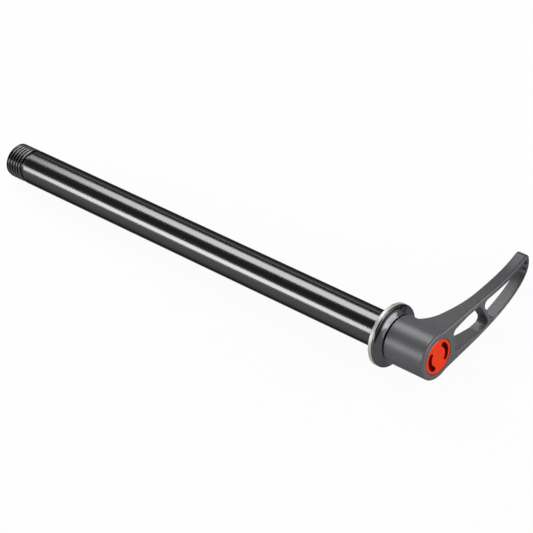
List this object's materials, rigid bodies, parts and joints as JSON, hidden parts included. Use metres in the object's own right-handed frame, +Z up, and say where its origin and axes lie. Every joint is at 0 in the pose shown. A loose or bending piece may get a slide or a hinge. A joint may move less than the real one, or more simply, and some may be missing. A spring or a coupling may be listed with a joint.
{
  "type": "bicycle thru axle",
  "caption": "Hollow rear thru axle with a threaded end, a loose clamp washer and a sprung ratchet lever with a windowed blade and a slotted red cap",
  "frame": {"origin": "on the floor, under the middle of the bounding box, with the axle lying on its thread end, its washer and the lever's blade", "axes": "+X runs along the axle from the thread end towards the lever, +Z is up, +Y is the side that the lever points to"},
  "size_m": [0.1844, 0.0578, 0.0208],
  "materials": {
    "axle": "polished black anodised",
    "washer": "satin",
    "rubber_ring": "matte",
    "lever": "matte dark grey anodised",
    "steel": "plain",
    "cap": "red anodised"
  },
  "bodies": {
    "axle": {"axle_shaft": "axle", "cap_screw": "cap", "spring": "steel"},
    "washer": {"clamp_washer": "washer", "washer_ring": "rubber_ring"},
    "spring_seat": {"spring_seat": "steel"},
    "lever": {"lever": "lever", "toothed_ring": "steel"}
  },
  "joints": [
    {"name": "lever_pull", "type": "slide", "parent": "axle", "child": "spring_seat", "axis": [0.9996, 0, 0.027], "range_m": [0, 0.004], "stiffness_N_per_m": 1500, "springref_m": -0.004, "deforming": ["spring"]},
    {"name": "lever_turn", "type": "hinge", "parent": "spring_seat", "child": "lever", "pos_m": [0.08208, -0.0185, 0.01064], "axis": [0.9996, 0, 0.027], "continuous": true},
    {"name": "washer_turn", "type": "hinge", "parent": "axle", "child": "washer", "pos_m": [0.07356, -0.0185, 0.01041], "axis": [0.9996, 0, 0.027], "continuous": true}
  ]
}
